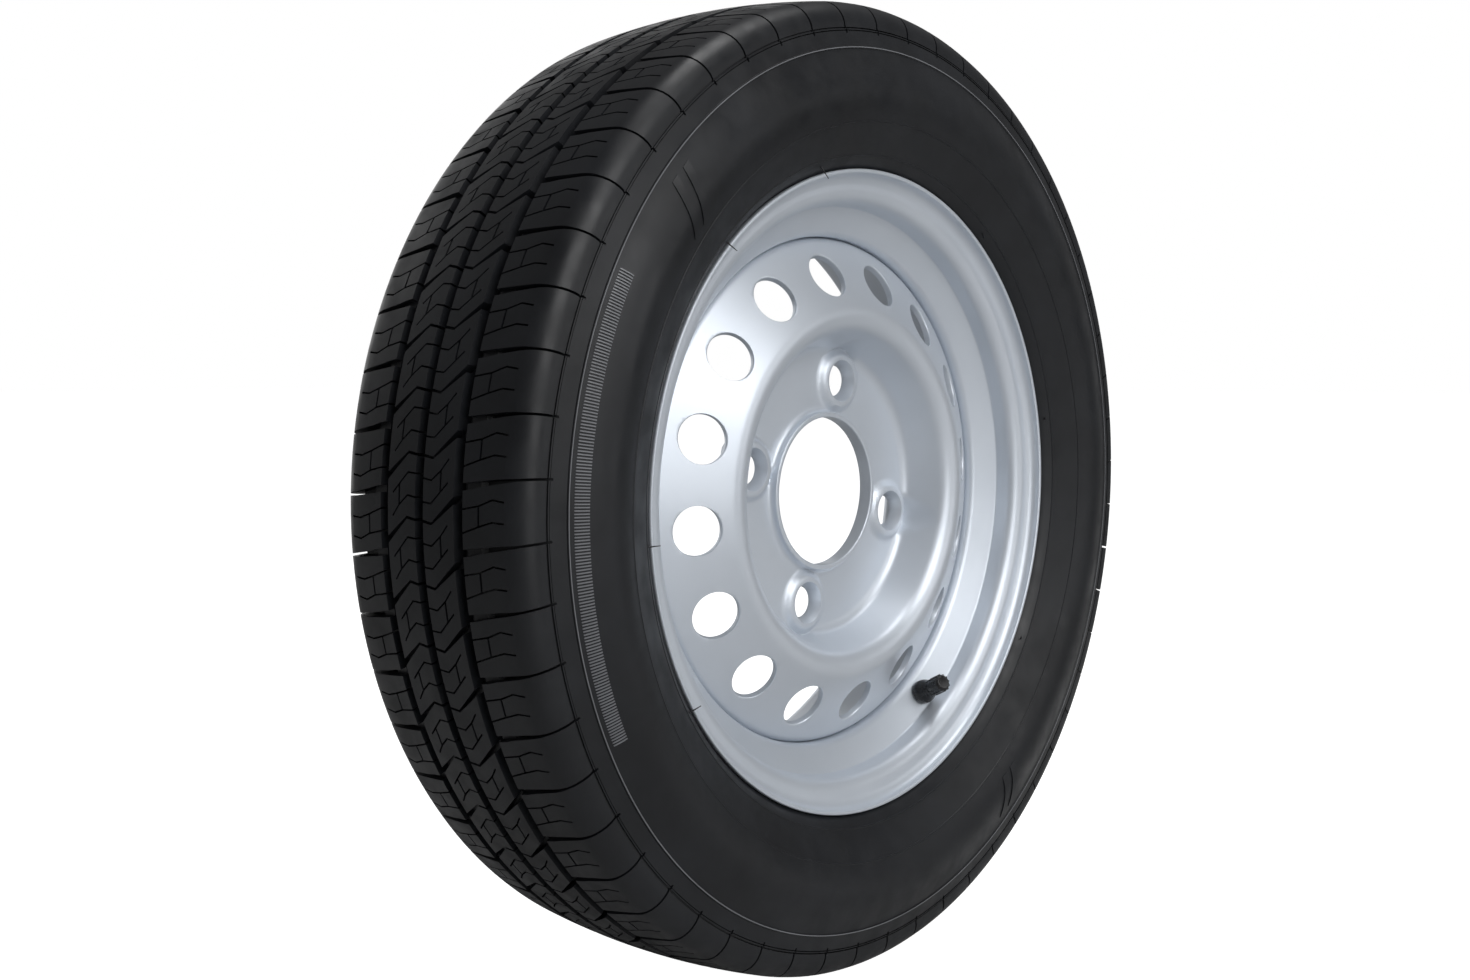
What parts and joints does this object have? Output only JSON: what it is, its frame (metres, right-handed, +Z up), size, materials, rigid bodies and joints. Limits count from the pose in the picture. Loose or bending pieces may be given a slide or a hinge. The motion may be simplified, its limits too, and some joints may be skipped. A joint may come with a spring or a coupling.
{
  "type": "wheel and tyre assembly",
  "caption": "Pressed-steel disc wheel, painted silver, with ring of round vent holes, bolt holes, hub bore, snap-in valve and a radial road tyre.",
  "frame": {"origin": "centre of the wheel: on its axis, halfway between the two sides of the tyre", "axes": "+Y along the wheel's axis towards the vehicle (inboard), -Y towards the pictured outboard face, +Z up"},
  "size_m": [0.547, 0.1552, 0.547],
  "materials": {
    "tyre_rubber": "matte moulded rubber",
    "silver_paint": "satin silver-grey paint",
    "valve_rubber": "smooth black rubber",
    "brass": "turned brass",
    "soft_seal": "soft red seal rubber",
    "spring_steel": "drawn wire",
    "cap_plastic": "black moulded plastic"
  },
  "bodies": {
    "wheel": {"tyre": "tyre_rubber", "rim": "silver_paint", "wheel_disc": "silver_paint", "disc_welds": "silver_paint", "valve_body": "valve_rubber", "valve_stem": "brass", "core_barrel": "brass", "core_seal": "soft_seal", "core_spring": "spring_steel"},
    "gasket": {"cap_gasket": "soft_seal"},
    "cap": {"valve_cap": "cap_plastic"},
    "pin": {"core_pin": "brass", "core_cup": "soft_seal"}
  },
  "joints": [
    {"name": "cap_lift", "type": "slide", "parent": "wheel", "child": "gasket", "axis": [-0.2758, -0.8662, 0.4167], "range_m": [0, 0.00715]},
    {"name": "cap_turn", "type": "hinge", "parent": "gasket", "child": "cap", "pos_m": [0.08161, -0.04582, -0.1233], "axis": [-0.2758, -0.8662, 0.4167], "range_deg": [0, 3241]},
    {"name": "core_press", "type": "slide", "parent": "wheel", "child": "pin", "axis": [0.2758, 0.8662, -0.4167], "range_m": [0, 0.0015], "stiffness_N_per_m": 1500, "springref_m": -0.0005, "deforming": ["core_spring"]}
  ],
  "couplings": [
    {"joint": "cap_turn", "follows": "cap_lift", "rad_per_m": 7913.3}
  ]
}
